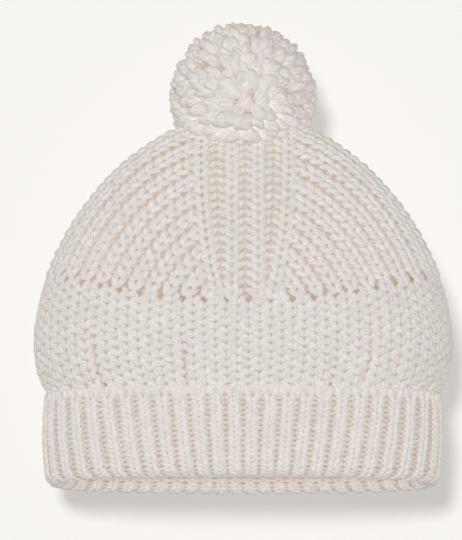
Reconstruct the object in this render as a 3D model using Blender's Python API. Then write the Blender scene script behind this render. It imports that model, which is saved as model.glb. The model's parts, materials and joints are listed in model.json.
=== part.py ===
"""A knit beanie with a turned-up rib cuff, a band, a four-panel crown and a pompom on its tie.

Metres, +Z up. The hat stands on the fold of its cuff, with its front towards -Y and the
origin under the middle of its mouth.
"""

import math

import bmesh
import bpy
import numpy as np

# Outline of the hat, seen from the front: half widths and heights.
CUFF_HALF_WIDTH = 0.0940
CUFF_BULGE = 0.0017
CUFF_TOP = 0.0440
BAND_START = 0.0443
BAND_FOOT_HALF_WIDTH = 0.0925
HAT_HALF_WIDTH = 0.1002
WIDEST_HEIGHT = 0.069
CROWN_HEIGHT = 0.180
CROWN_RISE_POWER = 1.75
CROWN_WIDTH_POWER = 1.85
SECTION_POWER = 2.6
DEPTH_RATIO = 0.48
CROWN_EXTRA_DEPTH = 0.14

# The join between band and crown dips at the front and back.
JOIN_SIDE_HEIGHT = 0.099
JOIN_MIDDLE_HEIGHT = 0.084

# Fabric.
KNIT_THICKNESS = 0.0042
GAP = 0.0003
PANEL_GAP = 0.0004
RIM_HEIGHT = 0.0032
RIM_FLAT = 0.0040

# The middle panel of the crown, between two decrease lines.
PANEL_HALF_WIDTH_LOW = 0.0128
PANEL_HALF_WIDTH_HIGH = 0.0207
PANEL_SHARE_AT_TOP = 0.62

# The closed top of the crown, and the tie that goes through it.
TOP_OPENING_RADIUS = 0.0075
CLOSING_RING_RADIUS = 0.0054
CLOSING_YARN_RADIUS = 0.0014
CLOSING_RING_HEIGHT = 0.1775
PIVOT_HEIGHT = 0.1812
NECK_RADIUS = 0.0026
NECK_TAIL_RADIUS = 0.0012
NECK_TAIL_END = 0.1752
KNOT_RADIUS = 0.0066
KNOT_HALF_HEIGHT = 0.0032
KNOT_CENTRE = 0.1713

# The pompom.
POMPOM_RADIUS = 0.0352
POMPOM_CENTRE = 0.189
LEAN_CLEARANCE = math.radians(18.5)
NECK_POCKET_RADIUS = 0.0035
LOOP_CENTRE = 0.1908
LOOP_RADIUS = 0.0046
LOOP_YARN_RADIUS = 0.0012
LOOP_GROOVE_RADIUS = 0.0016

# The seam ridge inside the back.
SEAM_HALF_WIDTH = 0.0022
SEAM_THICKNESS = 0.0018
SEAM_CLEARANCE = 0.0008
SEAM_LOW = 0.006
SEAM_TOP = 0.078

# Mesh density.
ROUND_STEPS = 52
MIDDLE_PANEL_STEPS = 5
SIDE_PANEL_STEPS = 16
CROWN_ROWS = 10
POMPOM_RINGS = 14
POMPOM_STEPS = 14
TURNED_STEPS = 16
YARN_RING_STEPS = 20
YARN_SIDES = 6

FRONT = -math.pi / 2
BACK = math.pi / 2

WOOL = (0.80, 0.75, 0.69, 1.0)
POMPOM_WOOL = (0.83, 0.79, 0.74, 1.0)
TIE_WOOL = (0.78, 0.73, 0.67, 1.0)


def clear_scene():
    for thing in list(bpy.data.objects):
        bpy.data.objects.remove(thing)


def wool(name, colour, roughness):
    material = bpy.data.materials.new(name)
    material.use_nodes = True
    shader = material.node_tree.nodes["Principled BSDF"]
    shader.inputs["Base Color"].default_value = colour
    shader.inputs["Roughness"].default_value = roughness
    shader.inputs["Metallic"].default_value = 0.0
    return material


def smooth_step(value):
    value = np.clip(value, 0.0, 1.0)
    return value * value * (3.0 - 2.0 * value)


def section(angle):
    """A point of the unit outline that every level of the hat is a scaled copy of."""
    c, s = np.cos(angle), np.sin(angle)
    power = 2.0 / SECTION_POWER
    return np.sign(c) * np.abs(c) ** power, np.sign(s) * np.abs(s) ** power


def cuff_half_width(z):
    return CUFF_HALF_WIDTH + CUFF_BULGE * np.sin(math.pi * z / (CUFF_TOP + 0.004))


def band_half_width(z):
    """The band swells out above the cuff, and then follows the crown's outline."""
    below = np.clip((z - BAND_START) / (WIDEST_HEIGHT - BAND_START), 0.0, 1.0)
    swell = BAND_FOOT_HALF_WIDTH + (HAT_HALF_WIDTH - BAND_FOOT_HALF_WIDTH) * np.sin(
        math.pi / 2 * below**0.7
    )
    rise = np.clip((z - WIDEST_HEIGHT) / (CROWN_HEIGHT - WIDEST_HEIGHT), 0.0, 1.0)
    crown = HAT_HALF_WIDTH * (1.0 - rise**CROWN_RISE_POWER) ** (1.0 / CROWN_WIDTH_POWER)
    return np.where(z < WIDEST_HEIGHT, swell, crown)


def ring_point(angle, half_width, z, inset=0.0):
    """A point on the hat below the crown, inset from its outer face."""
    x, y = section(angle)
    return np.array(
        [(half_width - inset) * x, (half_width * DEPTH_RATIO - inset) * y, z + 0.0 * x]
    )


def crown_point(angle, climb):
    """A point on the crown's outer face. climb is an angle, 0 at its widest and pi/2 at its peak."""
    half_width = HAT_HALF_WIDTH * np.cos(climb) ** (2.0 / CROWN_WIDTH_POWER)
    rise = np.sin(climb) ** (2.0 / CROWN_RISE_POWER)
    z = WIDEST_HEIGHT + (CROWN_HEIGHT - WIDEST_HEIGHT) * rise
    side_ratio = DEPTH_RATIO + CROWN_EXTRA_DEPTH * np.sin(climb) ** 4
    rounding = smooth_step((climb - math.radians(70)) / math.radians(14.8))
    ratio = side_ratio + (1.0 - side_ratio) * rounding
    x, y = section(angle)
    circle = rounding * 0.8
    x = (1.0 - circle) * x + circle * np.cos(angle)
    y = (1.0 - circle) * y + circle * np.sin(angle)
    return np.array([half_width * x, half_width * ratio * y, z + 0.0 * x])


def crown_inner_point(angle, climb):
    """The same point moved in along the face's normal by the fabric's thickness."""
    step = 1e-4
    here = crown_point(angle, climb)
    along = crown_point(angle + step, climb) - crown_point(angle - step, climb)
    up = crown_point(angle, climb + step) - crown_point(angle, climb - step)
    normal = np.cross(along, up)
    return here - KNIT_THICKNESS * normal / np.linalg.norm(normal)


def join_height(angle):
    """The height of the join between band and crown at this angle round the hat."""
    dip = abs(math.sin(angle)) ** 3
    return JOIN_SIDE_HEIGHT + (JOIN_MIDDLE_HEIGHT - JOIN_SIDE_HEIGHT) * dip


def climb_at(z):
    rise = (z - WIDEST_HEIGHT) / (CROWN_HEIGHT - WIDEST_HEIGHT)
    return math.asin(rise ** (CROWN_RISE_POWER / 2.0))


def top_climb():
    return math.acos((TOP_OPENING_RADIUS / HAT_HALF_WIDTH) ** (CROWN_WIDTH_POWER / 2.0))


def panel_edge_angle(climb, share):
    """How far from the middle of the front the decrease line lies at this height, as an angle."""
    half_width = crown_point(0.0, climb)[0]
    wanted = PANEL_HALF_WIDTH_LOW + (PANEL_HALF_WIDTH_HIGH - PANEL_HALF_WIDTH_LOW) * share
    wanted = min(wanted, PANEL_SHARE_AT_TOP * half_width)
    low, high = 0.0, math.pi / 2
    for _ in range(30):
        middle = (low + high) / 2
        if crown_point(FRONT + middle, climb)[0] < wanted:
            low = middle
        else:
            high = middle
    return low


def new_object(name, mesh_maker, material):
    """An object from a bmesh, shaded smooth with its sharp edges kept."""
    mesh = bpy.data.meshes.new(name)
    mesh_maker.to_mesh(mesh)
    mesh_maker.free()
    mesh.shade_smooth()
    mesh.set_sharp_from_angle(angle=math.radians(40))
    mesh.materials.append(material)
    thing = bpy.data.objects.new(name, mesh)
    bpy.context.scene.collection.objects.link(thing)
    return thing


def loft(name, loops, material, closed_round=True):
    """A closed solid from a grid of points. loops[i][j] runs round the wall's section in j.

    With closed_round the last section joins the first; otherwise each end section is filled
    between its first half and its second, which face each other.
    """
    maker = bmesh.new()
    rows = [[maker.verts.new(point) for point in loop] for loop in loops]
    count = len(rows)
    for i in range(count if closed_round else count - 1):
        here, after = rows[i], rows[(i + 1) % count]
        for j in range(len(here)):
            k = (j + 1) % len(here)
            maker.faces.new((here[j], after[j], after[k], here[k]))
    for end in () if closed_round else (rows[0], rows[-1]):
        for j in range(len(end) // 2 - 1):
            maker.faces.new((end[j], end[j + 1], end[-2 - j], end[-1 - j]))
    bmesh.ops.triangulate(maker, faces=maker.faces)
    bmesh.ops.recalc_face_normals(maker, faces=maker.faces)
    return new_object(name, maker, material)


def round_angles():
    """Angles whose points lie at even steps along the hat's outline."""
    fine = np.linspace(0.0, 2 * math.pi, 7201)
    x, y = section(fine)
    travelled = np.concatenate([[0.0], np.cumsum(np.hypot(np.diff(x), DEPTH_RATIO * np.diff(y)))])
    even = np.linspace(0.0, travelled[-1], ROUND_STEPS + 1)[:-1]
    return [float(angle) for angle in np.interp(even, travelled, fine)]


def make_cuff_wall(name, inset, material):
    """One layer of the cuff, with softly rounded upper corners."""
    low, corner = RIM_HEIGHT + GAP, 0.0012
    levels = [low, 0.012, 0.021, 0.030, 0.038, CUFF_TOP - corner]
    loops = []
    for angle in round_angles():
        outer = [ring_point(angle, cuff_half_width(z), z, inset) for z in levels]
        top = cuff_half_width(CUFF_TOP)
        cap = [
            ring_point(angle, top, CUFF_TOP, inset + corner),
            ring_point(angle, top, CUFF_TOP, inset + KNIT_THICKNESS - corner),
        ]
        inner = [
            ring_point(angle, cuff_half_width(z), z, inset + KNIT_THICKNESS) for z in reversed(levels)
        ]
        loops.append(outer + cap + inner)
    return loft(name, loops, material)


def make_rim_fold(material):
    """The folded lower edge: a ring under both layers, rounded, with a flat to stand on."""
    width = 2 * KNIT_THICKNESS + GAP
    flat_start = (width - RIM_FLAT) / 2
    outline = [
        (0.0, RIM_HEIGHT),
        (0.0003, RIM_HEIGHT * 0.55),
        (flat_start * 0.4, RIM_HEIGHT * 0.2),
        (flat_start, 0.0),
        (flat_start + RIM_FLAT, 0.0),
        (width - flat_start * 0.4, RIM_HEIGHT * 0.2),
        (width - 0.0003, RIM_HEIGHT * 0.55),
        (width, RIM_HEIGHT),
    ]
    loops = []
    for angle in round_angles():
        loops.append([ring_point(angle, cuff_half_width(RIM_HEIGHT), z, inset) for inset, z in outline])
    return loft("rim_fold", loops, material)


def make_band(material):
    """The band, from the cuff up to the join, which dips at the front and back."""
    shares = [0.0, 0.08, 0.2, 0.35, 0.52, 0.7, 0.86, 1.0]
    loops = []
    for angle in round_angles():
        top = join_height(angle) - GAP / 2
        levels = [BAND_START + (top - BAND_START) * share for share in shares]
        outer = [ring_point(angle, band_half_width(z), z) for z in levels]
        outer[-1] = crown_point(angle, climb_at(top))
        inner = [ring_point(angle, band_half_width(z), z, KNIT_THICKNESS) for z in reversed(levels)]
        inner[0] = crown_inner_point(angle, climb_at(top))
        loops.append(outer + inner)
    return loft("band", loops, material)


def make_crown_panel(name, middle, steps, is_middle_panel, material):
    """One crown panel between two decrease lines, from the join up to the closing yarn."""
    columns = []
    for i in range(steps + 1):
        across = 2.0 * i / steps - 1.0
        outer, inner = [], []
        for row in range(CROWN_ROWS + 1):
            share = row / CROWN_ROWS
            angle = middle
            for _ in range(4):
                low = climb_at(join_height(angle) + GAP / 2)
                climb = low + (top_climb() - low) * share
                edge = panel_edge_angle(climb, share)
                width = np.linalg.norm(crown_point(FRONT + edge, climb)[:2] - crown_point(FRONT, climb)[:2])
                slack = PANEL_GAP / 2 * edge / width
                reach = edge - slack if is_middle_panel else math.pi / 2 - edge - slack
                angle = middle + across * reach
            outer.append(crown_point(angle, climb))
            inner.append(crown_inner_point(angle, climb))
        columns.append(outer + inner[::-1])
    return loft(name, columns, material, closed_round=False)


def make_back_seam(material):
    """A narrow ridge up the inside of the back, over the cuff's inner wall and the band."""
    levels = [SEAM_LOW, 0.016, 0.026, 0.036, 0.046, 0.058, 0.068, SEAM_TOP]
    loops = []
    for z in levels:
        cuff_face = cuff_half_width(z) * DEPTH_RATIO - 2 * KNIT_THICKNESS - GAP
        band_face = float(band_half_width(z)) * DEPTH_RATIO - KNIT_THICKNESS
        share = float(smooth_step((z - 0.044) / 0.014))
        y = cuff_face + (band_face - cuff_face) * share - GAP - SEAM_CLEARANCE * share
        loops.append(
            [
                (-SEAM_HALF_WIDTH, y - SEAM_THICKNESS / 2, z),
                (-SEAM_HALF_WIDTH * 0.8, y, z),
                (SEAM_HALF_WIDTH * 0.8, y, z),
                (SEAM_HALF_WIDTH, y - SEAM_THICKNESS / 2, z),
                (SEAM_HALF_WIDTH * 0.5, y - SEAM_THICKNESS, z),
                (-SEAM_HALF_WIDTH * 0.5, y - SEAM_THICKNESS, z),
            ]
        )
    return loft("back_seam", loops, material, closed_round=False)


def make_ring(name, ring_radius, yarn_radius, centre, upright, material):
    """A ring of yarn. upright stands it in the XZ plane."""
    loops = []
    for i in range(YARN_RING_STEPS):
        turn = 2 * math.pi * i / YARN_RING_STEPS
        loop = []
        for j in range(YARN_SIDES):
            side = 2 * math.pi * (j + 0.5) / YARN_SIDES
            out = ring_radius + yarn_radius * math.cos(side)
            across = yarn_radius * math.sin(side)
            if upright:
                loop.append((out * math.cos(turn), across, centre + out * math.sin(turn)))
            else:
                loop.append((out * math.cos(turn), out * math.sin(turn), centre + across))
        loops.append(loop)
    return loft(name, loops, material)


def turned(name, profile, location, material):
    """A solid of revolution about Z. The profile runs from top to bottom down its outer side."""
    maker = bmesh.new()
    verts = [maker.verts.new((radius, 0.0, z)) for radius, z in profile]
    for first, second in zip(verts, verts[1:]):
        maker.edges.new((first, second))
    thing = new_object(name, maker, material)
    screw = thing.modifiers.new("turn", "SCREW")
    screw.steps = TURNED_STEPS
    screw.render_steps = TURNED_STEPS
    screw.use_merge_vertices = True
    screw.merge_threshold = 0.00001
    thing.location = location
    return thing


def make_tie_neck(material):
    """The short neck of the tie: a round twist at the pivot, with its tail down through the crown."""
    profile = [(0.0, NECK_RADIUS)]
    for i in range(1, 9):
        turn = math.pi / 2 - i * math.radians(17.5)
        profile.append((NECK_RADIUS * math.cos(turn), NECK_RADIUS * math.sin(turn)))
    tail_end = NECK_TAIL_END - PIVOT_HEIGHT
    profile += [(NECK_TAIL_RADIUS, -NECK_RADIUS * 1.1), (NECK_TAIL_RADIUS, tail_end), (0.0, tail_end)]
    return turned("tie_neck", profile, (0.0, 0.0, PIVOT_HEIGHT), material)


def make_inner_knot(material):
    """The flattened knot that holds the tie, against the inside of the crown."""
    profile = []
    for i in range(11):
        turn = math.pi / 2 - math.pi * i / 10
        radius = 0.0 if i in (0, 10) else KNOT_RADIUS * math.cos(turn)
        profile.append((radius, KNOT_HALF_HEIGHT * math.sin(turn)))
    return turned("inner_knot", profile, (0.0, 0.0, KNOT_CENTRE), material)


def pompom_floor(x, y):
    """The pompom's underside: clear of the crown, and of the neck, however it leans."""
    spread = math.hypot(x, y / 0.62) / HAT_HALF_WIDTH
    rise = (1.0 - spread**CROWN_WIDTH_POWER) ** (1.0 / CROWN_RISE_POWER)
    crown = WIDEST_HEIGHT + (CROWN_HEIGHT - WIDEST_HEIGHT) * rise
    radius = math.hypot(x, y)
    clear = crown + 0.0016 + radius * math.tan(LEAN_CLEARANCE)
    pocket = PIVOT_HEIGHT + math.sqrt(max(NECK_POCKET_RADIUS**2 - radius**2, 0.0))
    return max(clear, pocket) if radius < NECK_POCKET_RADIUS else clear


def make_pompom_half(name, side, groove, material):
    """Half of the ball, in front of or behind the tie, with half of the tie's groove."""
    maker = bmesh.new()
    rows = []
    for i in range(POMPOM_RINGS + 1):
        polar = math.pi * i / POMPOM_RINGS
        row = []
        for j in range(POMPOM_STEPS + 1):
            turn = math.pi * j / POMPOM_STEPS
            x = POMPOM_RADIUS * math.sin(polar) * math.cos(turn)
            y = POMPOM_RADIUS * math.sin(polar) * math.sin(turn)
            z = POMPOM_CENTRE + POMPOM_RADIUS * math.cos(polar)
            if polar > math.pi / 2:
                z = max(z, pompom_floor(x, y))
            row.append(maker.verts.new((x, side * (y + GAP / 2), z)))
        rows.append(row)
    for low, high in zip(rows, rows[1:]):
        for j in range(POMPOM_STEPS):
            maker.faces.new((low[j], low[j + 1], high[j + 1], high[j]))
    bmesh.ops.remove_doubles(maker, verts=maker.verts, dist=0.00001)
    rim = [edge for edge in maker.edges if edge.is_boundary]
    bmesh.ops.contextual_create(maker, geom=rim)
    bmesh.ops.triangulate(maker, faces=maker.faces)
    bmesh.ops.recalc_face_normals(maker, faces=maker.faces)
    thing = new_object(name, maker, material)
    cut = thing.modifiers.new("groove", "BOOLEAN")
    cut.operation = "DIFFERENCE"
    cut.solver = "EXACT"
    cut.object = groove
    return thing


def make_pompom(yarn, tie):
    """The two brushes of yarn and the loop between them, all parented to the pivot."""
    pivot = bpy.data.objects.new("pompom_pivot", None)
    pivot.location = (0.0, 0.0, PIVOT_HEIGHT)
    bpy.context.scene.collection.objects.link(pivot)
    groove = make_ring("loop_groove", LOOP_RADIUS, LOOP_GROOVE_RADIUS, LOOP_CENTRE, True, tie)
    groove.hide_render = True
    groove.display_type = "WIRE"
    pieces = [
        make_pompom_half("pompom_front_half", -1, groove, yarn),
        make_pompom_half("pompom_back_half", 1, groove, yarn),
        make_ring("pompom_tie_loop", LOOP_RADIUS, LOOP_YARN_RADIUS, LOOP_CENTRE, True, tie),
        make_tie_neck(tie),
    ]
    for piece in pieces + [groove]:
        piece.parent = pivot
        piece.matrix_parent_inverse = pivot.matrix_basis.inverted()


def build():
    clear_scene()
    knit = wool("cream_knit", WOOL, 0.9)
    yarn = wool("pompom_yarn", POMPOM_WOOL, 0.95)
    tie = wool("tie_yarn", TIE_WOOL, 0.85)

    make_rim_fold(knit)
    make_cuff_wall("cuff_turn_up", 0.0, knit)
    make_cuff_wall("cuff_inner_wall", KNIT_THICKNESS + GAP, knit)
    make_band(knit)
    make_crown_panel("crown_front_panel", FRONT, MIDDLE_PANEL_STEPS, True, knit)
    make_crown_panel("crown_back_panel", BACK, MIDDLE_PANEL_STEPS, True, knit)
    make_crown_panel("crown_right_panel", 0.0, SIDE_PANEL_STEPS, False, knit)
    make_crown_panel("crown_left_panel", math.pi, SIDE_PANEL_STEPS, False, knit)
    make_back_seam(knit)
    make_ring("closing_yarn", CLOSING_RING_RADIUS, CLOSING_YARN_RADIUS, CLOSING_RING_HEIGHT, False, tie)
    make_inner_knot(tie)
    make_pompom(yarn, tie)


build()
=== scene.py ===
# The looks of a cream knit beanie: every stitch is yarn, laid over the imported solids.
import json
import math

import bpy
import numpy as np
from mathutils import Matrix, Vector


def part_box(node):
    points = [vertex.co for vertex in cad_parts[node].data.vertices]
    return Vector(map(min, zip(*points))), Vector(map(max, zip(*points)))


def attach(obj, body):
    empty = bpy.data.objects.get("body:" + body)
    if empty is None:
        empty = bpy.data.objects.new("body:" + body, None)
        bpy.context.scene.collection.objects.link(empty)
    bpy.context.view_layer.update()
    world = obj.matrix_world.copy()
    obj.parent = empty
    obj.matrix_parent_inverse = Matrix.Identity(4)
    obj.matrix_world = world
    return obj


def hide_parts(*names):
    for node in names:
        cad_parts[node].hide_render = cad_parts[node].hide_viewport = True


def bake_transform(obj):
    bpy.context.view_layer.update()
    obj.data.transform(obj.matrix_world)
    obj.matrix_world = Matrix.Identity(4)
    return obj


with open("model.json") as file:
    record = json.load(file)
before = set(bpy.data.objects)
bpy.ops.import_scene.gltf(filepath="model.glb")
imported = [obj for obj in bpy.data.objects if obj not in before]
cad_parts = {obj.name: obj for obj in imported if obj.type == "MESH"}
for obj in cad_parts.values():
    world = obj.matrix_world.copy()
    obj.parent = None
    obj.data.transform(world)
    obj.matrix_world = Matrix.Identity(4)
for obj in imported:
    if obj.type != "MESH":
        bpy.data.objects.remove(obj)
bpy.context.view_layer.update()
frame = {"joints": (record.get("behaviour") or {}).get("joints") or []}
random = np.random.default_rng(4)

# -------- sizes
# The hat's outline, as its solids have it. Metres.
HALF_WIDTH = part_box("band")[1][0]
CUFF_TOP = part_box("cuff_turn_up")[1][2]
CROWN_HEIGHT = frame["joints"][0]["pos_m"][2] - 0.0012
WIDEST_HEIGHT = 0.069
CUFF_HALF_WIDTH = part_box("rim_fold")[1][0] - 0.0003
CUFF_BULGE = 0.0017
BAND_FOOT_HALF_WIDTH = 0.0925
CROWN_RISE_POWER = 1.75
CROWN_WIDTH_POWER = 1.85
SECTION_POWER = 2.6
DEPTH_RATIO = 0.48
CROWN_EXTRA_DEPTH = 0.14
JOIN_SIDE_HEIGHT = 0.099
JOIN_MIDDLE_HEIGHT = 0.084
THICKNESS = 0.0042
TOP_CLIMB = math.radians(84.6)
# Over this stretch of its climb the crown's outline turns into a circle.
CIRCLE_FROM = math.radians(70)
CIRCLE_OVER = math.radians(14.8)
CIRCLE_SHARE = 0.8

# The crown's middle panels, between two decrease lines that draw in near the band.
PANEL_HALF_LOW = 0.0128
PANEL_HALF_HIGH = 0.0212
PANEL_LOW_HEIGHT = 0.086
PANEL_HIGH_HEIGHT = 0.166
PANEL_KNIT_X = 0.00625
PANEL_SHIFT = 0.001
PANEL_TAPER = 2.6

# Gathers where the band goes down into the cuff: turns round the hat, top height, depth.
CREASES = [(-0.1485, 0.088, 0.0038), (-0.0559, 0.08, 0.0036), (0.1245, 0.084, 0.0032),
           (0.0895, 0.062, 0.0016), (0.245, 0.08, 0.0022), (0.365, 0.078, 0.0024),
           (0.455, 0.074, 0.002), (0.57, 0.076, 0.0024), (0.672, 0.08, 0.0022),
           (0.765, 0.078, 0.002)]
CREASE_WIDTH = 0.0019
CREASE_WANDER = 0.0016
CREASE_WAVES = 160.0
CREASE_SWELL = 0.26

# Counts and pitches of the knitting.
RIBS = 54
BAND_COLUMNS = 94
BAND_ROWS = 11
CUFF_ROW = 0.0024
PANEL_ROW = 0.0044
SIDE_ROW = 0.0053
SIDE_PITCH = 0.0082

# How uneven stitches are, how far a tube's end bulges, and how fast its fibres change and wind.
SIDE_WOBBLE = 0.0006
LIFT_WOBBLE = 0.00012
END_BULGE = 0.55
FIBRE_RATE = 250.0
SHEET_FIBRE_RATE = 900.0
CUFF_TWIST = 1300.0


# -------- the hat's surface
def between(low, high, share):
    return low + (high - low) * share


def smooth_step(value):
    value = np.clip(value, 0.0, 1.0)
    return value * value * (3.0 - 2.0 * value)


def stack(x, y, z):
    return np.stack(np.broadcast_arrays(x, y, z), axis=-1).astype(float)


def section(angle):
    """A point of the unit outline that every level of the hat is a scaled copy of."""
    c, s = np.cos(angle), np.sin(angle)
    power = 2.0 / SECTION_POWER
    return np.sign(c) * np.abs(c) ** power, np.sign(s) * np.abs(s) ** power


def make_round_table():
    """Shares of the way round the outline, and the section's angle at each."""
    fine = np.linspace(-math.pi / 2, 1.5 * math.pi, 14401)
    x, y = section(fine)
    travelled = np.concatenate([[0.0], np.cumsum(np.hypot(np.diff(x), DEPTH_RATIO * np.diff(y)))])
    return travelled / travelled[-1], fine


ROUND_SHARES, ROUND_ANGLES = make_round_table()


def angle_of(u):
    """The section's angle at u turns round the hat: 0 in front, 0.25 at +X, 0.5 behind."""
    return np.interp(np.mod(u, 1.0), ROUND_SHARES, ROUND_ANGLES)


def cuff_half_width(z):
    return CUFF_HALF_WIDTH + CUFF_BULGE * np.sin(math.pi * z / (CUFF_TOP + 0.004))


def crown_rise(z):
    """The share of the crown's rise, from 0 where the hat is widest to 1 at its peak."""
    return np.clip((z - WIDEST_HEIGHT) / (CROWN_HEIGHT - WIDEST_HEIGHT), 0.0, 1.0)


def band_half_width(z):
    below = np.clip((z - CUFF_TOP) / (WIDEST_HEIGHT - CUFF_TOP), 0.0, 1.0)
    swell = between(BAND_FOOT_HALF_WIDTH, HALF_WIDTH, np.sin(math.pi / 2 * below**0.7))
    crown = HALF_WIDTH * (1.0 - crown_rise(z) ** CROWN_RISE_POWER) ** (1.0 / CROWN_WIDTH_POWER)
    return np.where(z < WIDEST_HEIGHT, swell, crown)


def level_at(u, half_width, inset, z):
    """A point of the level z: the outline at this half width, moved in by the inset."""
    x, y = section(angle_of(u))
    return stack((half_width - inset) * x, (half_width * DEPTH_RATIO - inset) * y, z)


def crease_depth(u, z):
    """Upright gathers: narrow furrows with a swollen fold on each side, fading upwards."""
    depth = 0.0
    for middle, top, deepest in CREASES:
        bend = CREASE_WANDER * np.sin((z - CUFF_TOP) * CREASE_WAVES + middle * 40.0)
        away = (np.mod(u - middle - bend + 0.5, 1.0) - 0.5) / CREASE_WIDTH
        fade = smooth_step((top - z) / (top - CUFF_TOP - 0.004))
        furrow = np.exp(-np.abs(away) ** 1.2)
        swell = np.exp(-(((away + 3.6) / 3.4) ** 2)) + 0.4 * np.exp(-(((away - 4.2) / 3.6) ** 2))
        depth = depth + fade * deepest * (furrow - CREASE_SWELL * swell)
    return depth


def smooth_band_at(u, z, inset=0.0):
    return level_at(u, band_half_width(z), inset, z)


def band_at(u, z, inset=0.0):
    return smooth_band_at(u, z, inset + crease_depth(u, z))


def turn_of(points):
    """The u of points near the band: the way back from smooth_band_at."""
    x, y, z = points[..., 0], points[..., 1], points[..., 2]
    width = band_half_width(z)
    c = np.sign(x) * np.abs(x / width) ** (SECTION_POWER / 2)
    s = np.sign(y) * np.abs(y / (width * DEPTH_RATIO)) ** (SECTION_POWER / 2)
    angle = np.mod(np.arctan2(s, c) + math.pi / 2, 2 * math.pi) - math.pi / 2
    return np.interp(angle, ROUND_ANGLES, ROUND_SHARES)


def crease_under(points):
    """How far each point of a leg sinks into the crease at its own place, so a crease stays thin."""
    return crease_depth(turn_of(points), points[..., 2])


def climb_at(z):
    """The crown's climb angle at a height: 0 where it is widest and a quarter turn at its peak."""
    return np.arcsin(crown_rise(z) ** (CROWN_RISE_POWER / 2.0))


def crown_height_at(climb):
    return between(WIDEST_HEIGHT, CROWN_HEIGHT, np.sin(climb) ** (2.0 / CROWN_RISE_POWER))


def crown_half_width(climb):
    return HALF_WIDTH * np.cos(climb) ** (2.0 / CROWN_WIDTH_POWER)


def crown_at(u, climb):
    half_width = crown_half_width(climb)
    side_ratio = DEPTH_RATIO + CROWN_EXTRA_DEPTH * np.sin(climb) ** 4
    rounding = smooth_step((climb - CIRCLE_FROM) / CIRCLE_OVER)
    ratio = side_ratio + (1.0 - side_ratio) * rounding
    angle = angle_of(u)
    x, y = section(angle)
    circle = rounding * CIRCLE_SHARE
    x = (1.0 - circle) * x + circle * np.cos(angle)
    y = (1.0 - circle) * y + circle * np.sin(angle)
    return stack(half_width * x, half_width * ratio * y, crown_height_at(climb))


def unit(vectors):
    return vectors / np.maximum(np.linalg.norm(vectors, axis=-1, keepdims=True), 1e-12)


def normals_of(surface, u, v, u_step=4e-4, v_step=2e-4):
    """Outward normals of a surface by differences along its two directions."""
    along = surface(u + u_step, v) - surface(u - u_step, v)
    up = surface(u, v + v_step) - surface(u, v - v_step)
    return unit(np.cross(along, up))


def join_height(u):
    """Where the band meets the crown: lower at the front and back than at the sides."""
    dip = np.abs(np.sin(angle_of(u))) ** 3
    return between(JOIN_SIDE_HEIGHT, JOIN_MIDDLE_HEIGHT, dip)


def panel_half_width(z):
    share = np.clip((z - PANEL_LOW_HEIGHT) / (PANEL_HIGH_HEIGHT - PANEL_LOW_HEIGHT), 0.0, 1.0)
    return between(PANEL_HALF_LOW, PANEL_HALF_HIGH, 1.0 - (1.0 - share) ** PANEL_TAPER)


HALVINGS = 26


def crown_turn_for(x, climb):
    """The u of the front right quarter where the crown has this x, by halving."""
    low, high = np.zeros_like(x), np.full_like(x, 0.25)
    for _ in range(HALVINGS):
        middle = (low + high) / 2
        less = crown_at(middle, climb)[..., 0] < x
        low, high = np.where(less, middle, low), np.where(less, high, middle)
    return (low + high) / 2


# -------- mesh making
def put_in_scene(name, data):
    thing = bpy.data.objects.new(name, data)
    bpy.context.scene.collection.objects.link(thing)
    return thing


def frames_along(centres, outward):
    """Tangents, sides and ups at rows of centres, and the length of the way to each."""
    tangent = unit(np.gradient(centres, axis=1))
    side = unit(np.cross(tangent, outward))
    gone = np.linalg.norm(np.diff(centres, axis=1, prepend=centres[:, :1]), axis=2)
    return tangent, side, np.cross(side, tangent), np.cumsum(gone, axis=1)


def tube_faces(rows, steps, sides):
    """Quads round the tubes and triangles on their ends. A tube's two end points follow its rings."""
    i, j = np.meshgrid(np.arange(steps - 1), np.arange(sides), indexing="ij")
    k = (j + 1) % sides
    quads = np.stack([i * sides + j, (i + 1) * sides + j, (i + 1) * sides + k, i * sides + k], -1)
    j = np.arange(sides)
    k = (j + 1) % sides
    low = np.stack([np.full(sides, steps * sides), j, k], -1)
    top = (steps - 1) * sides
    high = np.stack([np.full(sides, steps * sides + 1), top + k, top + j], -1)
    shift = (np.arange(rows) * (steps * sides + 2))[:, None, None]
    return quads.reshape(1, -1, 4) + shift, np.concatenate([low, high])[None] + shift


def sheet_faces(columns, rows, closed_round):
    """Quads of a closed sheet: outer and inner face, low and high edge, and the ends of an open one."""
    other = columns * rows
    last = columns if closed_round else columns - 1
    i, j = np.meshgrid(np.arange(last), np.arange(rows - 1), indexing="ij")
    n = (i + 1) % columns
    face = np.stack([i * rows + j, n * rows + j, n * rows + j + 1, i * rows + j + 1], -1).reshape(-1, 4)
    i = np.arange(last) * rows
    n = (np.arange(last) + 1) % columns * rows
    low = np.stack([n, i, i + other, n + other], -1)
    top = rows - 1
    high = np.stack([i + top, n + top, n + top + other, i + top + other], -1)
    quads = [face, face[:, ::-1] + other, low, high]
    if not closed_round:
        j = np.arange(rows - 1)
        quads.append(np.stack([j, j + 1, j + 1 + other, j + other], -1))
        j = j + (columns - 1) * rows
        quads.append(np.stack([j + 1, j, j + other, j + 1 + other], -1))
    return np.concatenate(quads)


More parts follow.
